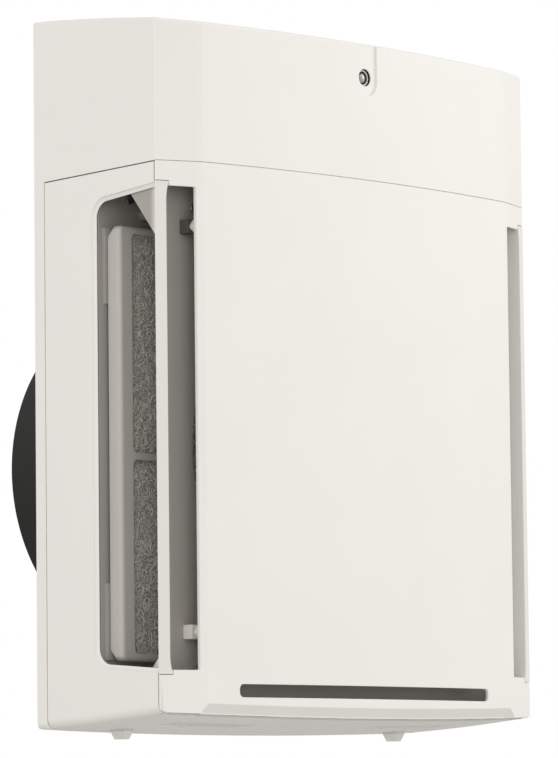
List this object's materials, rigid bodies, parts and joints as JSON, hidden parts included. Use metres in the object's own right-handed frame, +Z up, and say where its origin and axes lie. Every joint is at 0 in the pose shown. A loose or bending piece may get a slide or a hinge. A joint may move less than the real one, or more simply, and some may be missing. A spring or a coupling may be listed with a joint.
{
  "type": "air purifier",
  "caption": "Wall-hung air purifier: a box with a bowed front panel, open sides, a sliding filter, a fan and a round duct that passes through the wall.",
  "frame": {"origin": "on the wall plane, on the centre line, at the height of the two keyholes that hang on the wall screws", "axes": "+Y out of the back into the wall, so the front faces -Y; +X to the right seen from the front; +Z up"},
  "size_m": [0.39, 0.2454, 0.5159],
  "materials": {
    "white_plastic": "fine satin, moulded",
    "inner_plastic": "satin, moulded",
    "grey_plastic": "satin, moulded",
    "filter_fibre": "coarse curled fibre",
    "filter_paper": "pleated nonwoven sheet",
    "black_plastic": "matt, moulded",
    "rubber": "matt",
    "steel": "zinc plated",
    "motor_case": "die cast",
    "circuit_board": "solder mask",
    "lens_glass": "clear, smoked"
  },
  "bodies": {
    "housing": {"main_housing": "white_plastic", "lower_shell": "white_plastic", "air_guide": "inner_plastic", "panel_clip_upper_left": "white_plastic", "panel_clip_lower_left": "white_plastic", "panel_clip_upper_right": "white_plastic", "panel_clip_lower_right": "white_plastic", "filter_seat": "inner_plastic", "seat_screw_upper_left": "steel", "seat_screw_lower_left": "steel", "seat_screw_upper_right": "steel", "seat_screw_lower_right": "steel", "guide_screw_upper_left": "steel", "guide_screw_lower_left": "steel", "guide_screw_upper_right": "steel", "guide_screw_lower_right": "steel", "wall_duct": "black_plastic", "duct_seal": "rubber", "motor_bracket": "black_plastic", "bracket_screw_1": "steel", "bracket_screw_2": "steel", "bracket_screw_3": "steel", "bracket_screw_4": "steel", "fan_motor": "motor_case", "motor_bearing_rear": "steel", "motor_bearing_front": "steel", "head_floor": "inner_plastic", "control_board": "circuit_board", "board_spacer_rear_left": "inner_plastic", "board_spacer_rear_right": "inner_plastic", "board_spacer_front_left": "inner_plastic", "board_spacer_front_right": "inner_plastic", "power_supply": "motor_case", "terminal_block": "black_plastic", "cable_grommet": "rubber", "sensor_collar": "white_plastic", "sensor_bezel": "black_plastic", "sensor_lens": "lens_glass", "sensor_board": "circuit_board", "catch_guide_left": "inner_plastic", "catch_guide_right": "inner_plastic", "catch_spring_left": "steel", "catch_spring_right": "steel"},
    "front_panel": {"front_panel": "white_plastic"},
    "filter": {"filter_frame": "grey_plastic", "filter_mat": "filter_fibre", "filter_pleats": "filter_paper"},
    "impeller": {"impeller": "black_plastic", "motor_shaft": "steel", "impeller_nut": "steel"},
    "catch_left": {"catch_left": "white_plastic"},
    "catch_right": {"catch_right": "white_plastic"}
  },
  "joints": [
    {"name": "panel_pull", "type": "slide", "parent": "housing", "child": "front_panel", "axis": [0, -1, 0], "range_m": [0, 0.12]},
    {"name": "filter_slide", "type": "slide", "parent": "housing", "child": "filter", "axis": [-1, 0, 0], "range_m": [0, 0.38]},
    {"name": "fan_spin", "type": "hinge", "parent": "housing", "child": "impeller", "pos_m": [0, 0.012, -0.2559], "axis": [0, -1, 0], "continuous": true},
    {"name": "catch_left_press", "type": "slide", "parent": "housing", "child": "catch_left", "axis": [0, 0, 1], "range_m": [0, 0.003], "stiffness_N_per_m": 400, "springref_m": -0.001, "deforming": ["catch_spring_left"]},
    {"name": "catch_right_press", "type": "slide", "parent": "housing", "child": "catch_right", "axis": [0, 0, 1], "range_m": [0, 0.003], "stiffness_N_per_m": 400, "springref_m": -0.001, "deforming": ["catch_spring_right"]}
  ]
}
